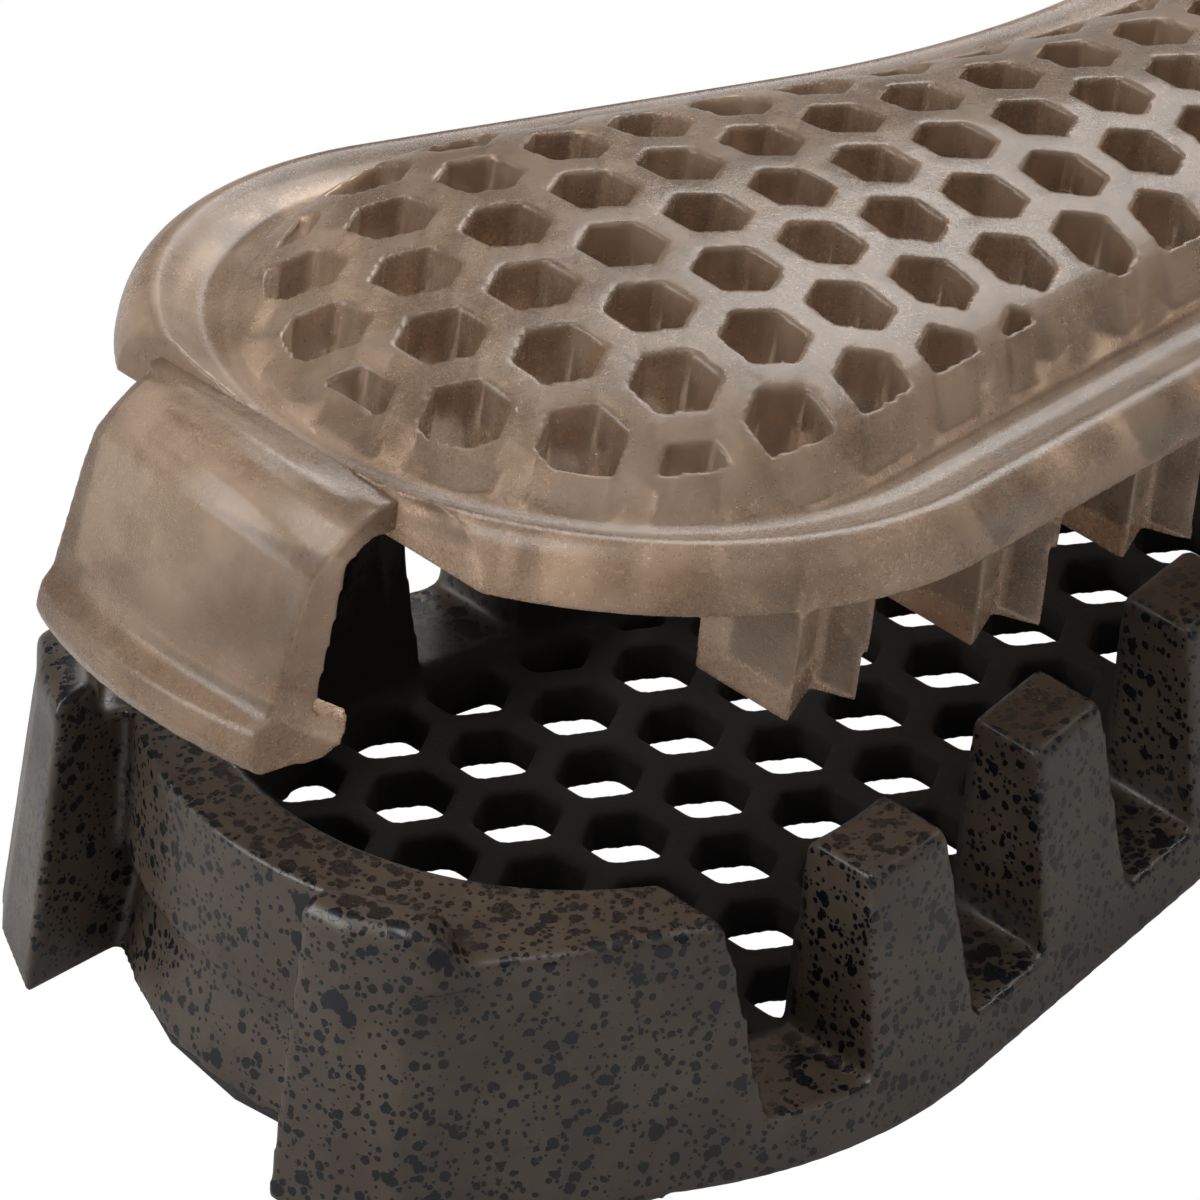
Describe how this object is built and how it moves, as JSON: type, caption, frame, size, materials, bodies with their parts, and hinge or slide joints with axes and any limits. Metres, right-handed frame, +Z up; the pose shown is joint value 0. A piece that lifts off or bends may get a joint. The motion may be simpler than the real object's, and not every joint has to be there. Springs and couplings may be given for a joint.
{
  "type": "snowboard stomp pad",
  "caption": "Waisted traction pad: a hard honeycomb tray with a soft honeycomb grip cap that swings open on one end tab and snaps shut with the other.",
  "frame": {"origin": "middle of the pad's length and width, on the face that rests on the board", "axes": "+Z up from the board, +X along the pad towards the hinged end, +Y across it"},
  "size_m": [0.1438, 0.0512, 0.0422],
  "materials": {
    "tray_plastic": "satin olive brown with dark speckle",
    "cap_rubber": "translucent smoke, semi-matte",
    "tape_foam": "matte foam adhesive tape"
  },
  "bodies": {
    "base": {"tray": "tray_plastic", "mounting_tape": "tape_foam", "rear_tab": "cap_rubber"},
    "cap": {"grip_cap": "cap_rubber"},
    "tab": {"front_tab": "cap_rubber"}
  },
  "joints": [
    {"name": "cap_swing", "type": "hinge", "parent": "base", "child": "cap", "pos_m": [0.063, 0, 0.0183], "axis": [0, 1, 0], "range_deg": [-9, 36]},
    {"name": "tab_flex", "type": "hinge", "parent": "cap", "child": "tab", "pos_m": [-0.06145, 0, 0.03801], "axis": [0, 1, 0], "range_deg": [0, 25], "stiffness_Nm_per_rad": 0.05}
  ]
}
